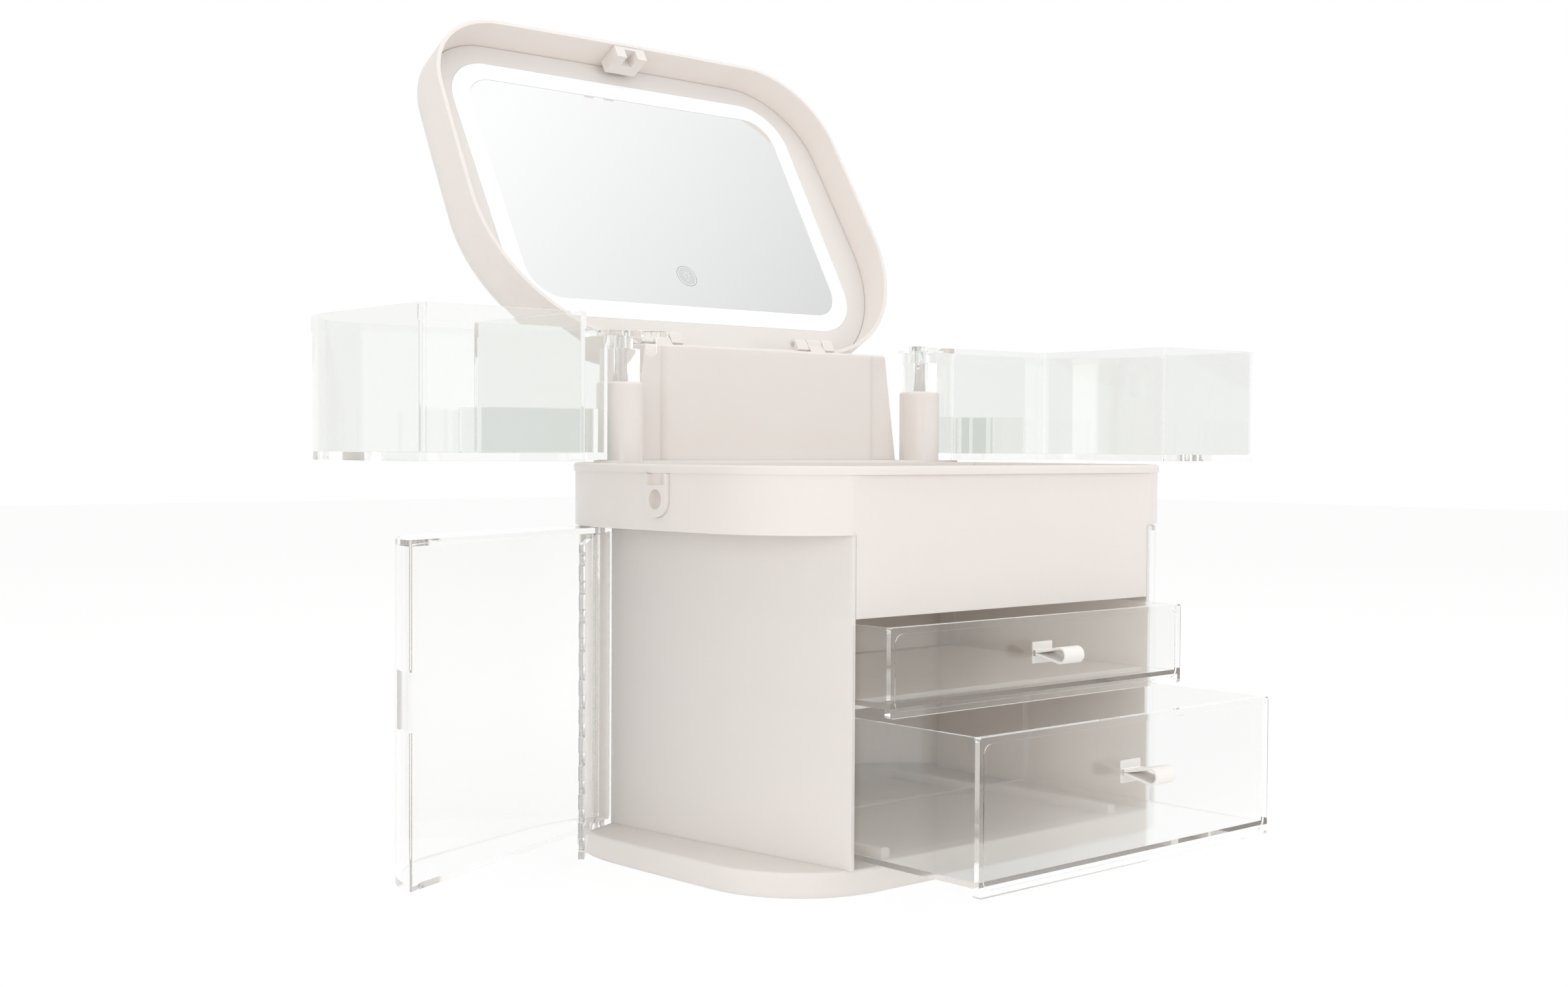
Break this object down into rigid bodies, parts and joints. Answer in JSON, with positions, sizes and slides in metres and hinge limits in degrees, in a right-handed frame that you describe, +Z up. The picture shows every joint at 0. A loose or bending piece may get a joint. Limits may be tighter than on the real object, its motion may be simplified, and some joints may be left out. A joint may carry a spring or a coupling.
{
  "type": "cosmetics box with mirror",
  "caption": "Case with a lighted mirror in its tilting lid, swing-out top trays, pull-out drawers and clear side doors that carry small racks.",
  "frame": {"origin": "on the surface the box stands on, under the middle of its base plate", "axes": "+Z up, the drawers open towards -Y, +X to the right of someone facing the drawers"},
  "size_m": [0.6194, 0.4686, 0.4866],
  "materials": {
    "shell": "satin moulded plastic, warm pinkish off-white",
    "clear": "clear polished plastic",
    "mirror": "silvered glass",
    "light": "white opal diffuser",
    "strap": "smooth cream synthetic leather",
    "steel": "plain steel pin",
    "rubber": "soft rubber",
    "light_strip": "flexible light strip",
    "battery": "wrapped cell",
    "board": "printed circuit board"
  },
  "bodies": {
    "box": {"base_plate": "shell", "rubber_feet": "rubber", "cabinet_shell": "shell", "bay_shelf": "shell", "drawer_runners": "shell", "top_bin": "shell", "left_handle_socket": "shell", "right_handle_socket": "shell", "rear_deck": "shell", "tower_shell": "shell", "hinge_pins": "steel", "left_tray_pin": "steel", "right_tray_pin": "steel", "left_door_pin": "steel", "right_door_pin": "steel"},
    "lid": {"lid_shell": "shell", "lid_surround": "shell", "light_ring": "light", "mirror_glass": "mirror", "touch_button": "light", "light_tray": "shell", "light_strip": "light_strip", "battery": "battery", "control_board": "board", "lid_latch": "shell"},
    "left_swing_tray": {"left_tray": "clear", "left_tray_cells": "clear"},
    "right_swing_tray": {"right_tray": "clear", "right_tray_cells": "clear"},
    "upper_drawer_unit": {"upper_drawer": "clear", "upper_pull": "strap"},
    "lower_drawer_unit": {"lower_drawer": "clear", "lower_pull": "strap"},
    "left_side_door": {"left_door": "clear"},
    "right_side_door": {"right_door": "clear"},
    "left_swing_rack": {"left_rack": "clear"},
    "right_swing_rack": {"right_rack": "clear"}
  },
  "joints": [
    {"name": "lid_hinge", "type": "hinge", "parent": "box", "child": "lid", "pos_m": [0, 0.112, 0.2855], "axis": [1, 0, 0], "range_deg": [0, 119.6]},
    {"name": "left_tray_pivot", "type": "hinge", "parent": "box", "child": "left_swing_tray", "pos_m": [-0.1197, 0.0708, 0.27], "axis": [0, 0, 1], "range_deg": [0, 92]},
    {"name": "right_tray_pivot", "type": "hinge", "parent": "box", "child": "right_swing_tray", "pos_m": [0.1197, 0.0708, 0.27], "axis": [0, 0, 1], "range_deg": [-86, 6]},
    {"name": "upper_drawer_slide", "type": "slide", "parent": "box", "child": "upper_drawer_unit", "axis": [0, -1, 0], "range_m": [-0.024, 0.126]},
    {"name": "lower_drawer_slide", "type": "slide", "parent": "box", "child": "lower_drawer_unit", "axis": [0, -1, 0], "range_m": [-0.082, 0.068]},
    {"name": "left_door_hinge", "type": "hinge", "parent": "box", "child": "left_side_door", "pos_m": [-0.148, 0.057, 0.095], "axis": [0, 0, 1], "range_deg": [0, 74]},
    {"name": "right_door_hinge", "type": "hinge", "parent": "box", "child": "right_side_door", "pos_m": [0.148, 0.057, 0.095], "axis": [0, 0, 1], "range_deg": [0, 74]},
    {"name": "left_rack_hinge", "type": "hinge", "parent": "box", "child": "left_swing_rack", "pos_m": [-0.148, 0.057, 0.095], "axis": [0, 0, 1], "range_deg": [0, 46]},
    {"name": "right_rack_hinge", "type": "hinge", "parent": "box", "child": "right_swing_rack", "pos_m": [0.148, 0.057, 0.095], "axis": [0, 0, 1], "range_deg": [0, 46]}
  ],
  "couplings": [
    {"joint": "left_rack_hinge", "follows": "left_door_hinge", "ratio": 0.6216},
    {"joint": "right_rack_hinge", "follows": "right_door_hinge", "ratio": 0.6216}
  ]
}
